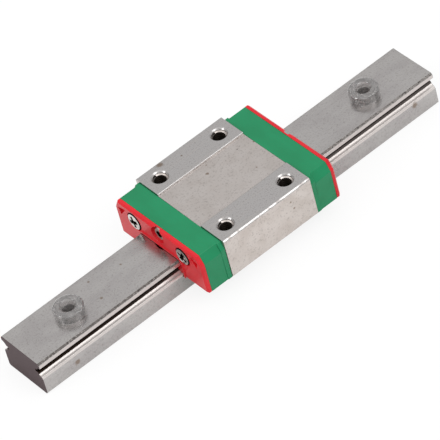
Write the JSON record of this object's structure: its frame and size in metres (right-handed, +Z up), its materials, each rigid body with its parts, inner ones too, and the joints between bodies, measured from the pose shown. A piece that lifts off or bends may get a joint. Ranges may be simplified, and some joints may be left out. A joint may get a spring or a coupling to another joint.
{
  "type": "miniature linear guide",
  "caption": "Miniature recirculating-ball linear guide: a grooved steel rail with counterbored holes, a short carriage with plastic end caps and seals, and clear stop plugs.",
  "frame": {"origin": "middle of the rail's bottom face", "axes": "+X along the rail, +Z up out of the rail's top face, +Y across the rail"},
  "size_m": [0.1, 0.027, 0.013],
  "materials": {
    "rail_steel": "ground",
    "block_steel": "ground",
    "green_plastic": "moulded, satin",
    "red_seal": "moulded, satin",
    "guide_plastic": "moulded",
    "clear_plastic": "clear, smooth",
    "screw_steel": "plated",
    "wire_steel": "drawn",
    "ball_steel": "polished"
  },
  "bodies": {
    "rail": {"rail": "rail_steel"},
    "carriage": {"carriage_block": "block_steel", "end_cap_near": "green_plastic", "end_cap_far": "green_plastic", "end_seal_near": "red_seal", "end_seal_far": "red_seal", "grease_screw_near": "screw_steel", "grease_screw_far": "screw_steel", "turn_guide_near_left": "guide_plastic", "turn_guide_near_right": "guide_plastic", "turn_guide_far_left": "guide_plastic", "turn_guide_far_right": "guide_plastic", "cap_screw_near_left": "screw_steel", "cap_screw_near_right": "screw_steel", "cap_screw_far_left": "screw_steel", "cap_screw_far_right": "screw_steel", "retainer_wire_left": "wire_steel", "retainer_wire_right": "wire_steel", "balls_loaded_left": "ball_steel", "balls_loaded_right": "ball_steel", "balls_return_left": "ball_steel", "balls_return_right": "ball_steel", "balls_turn_near_left": "ball_steel", "balls_turn_near_right": "ball_steel", "balls_turn_far_left": "ball_steel", "balls_turn_far_right": "ball_steel"},
    "stop_plug_near": {"stop_plug_near": "clear_plastic"},
    "stop_plug_far": {"stop_plug_far": "clear_plastic"}
  },
  "joints": [
    {"name": "carriage_slide", "type": "slide", "parent": "rail", "child": "carriage", "axis": [1, 0, 0], "range_m": [-0.0189, 0.0151]},
    {"name": "stop_plug_near_lift", "type": "slide", "parent": "rail", "child": "stop_plug_near", "axis": [0, 0, 1], "range_m": [0, 0.003]},
    {"name": "stop_plug_far_lift", "type": "slide", "parent": "rail", "child": "stop_plug_far", "axis": [0, 0, 1], "range_m": [0, 0.003]}
  ]
}
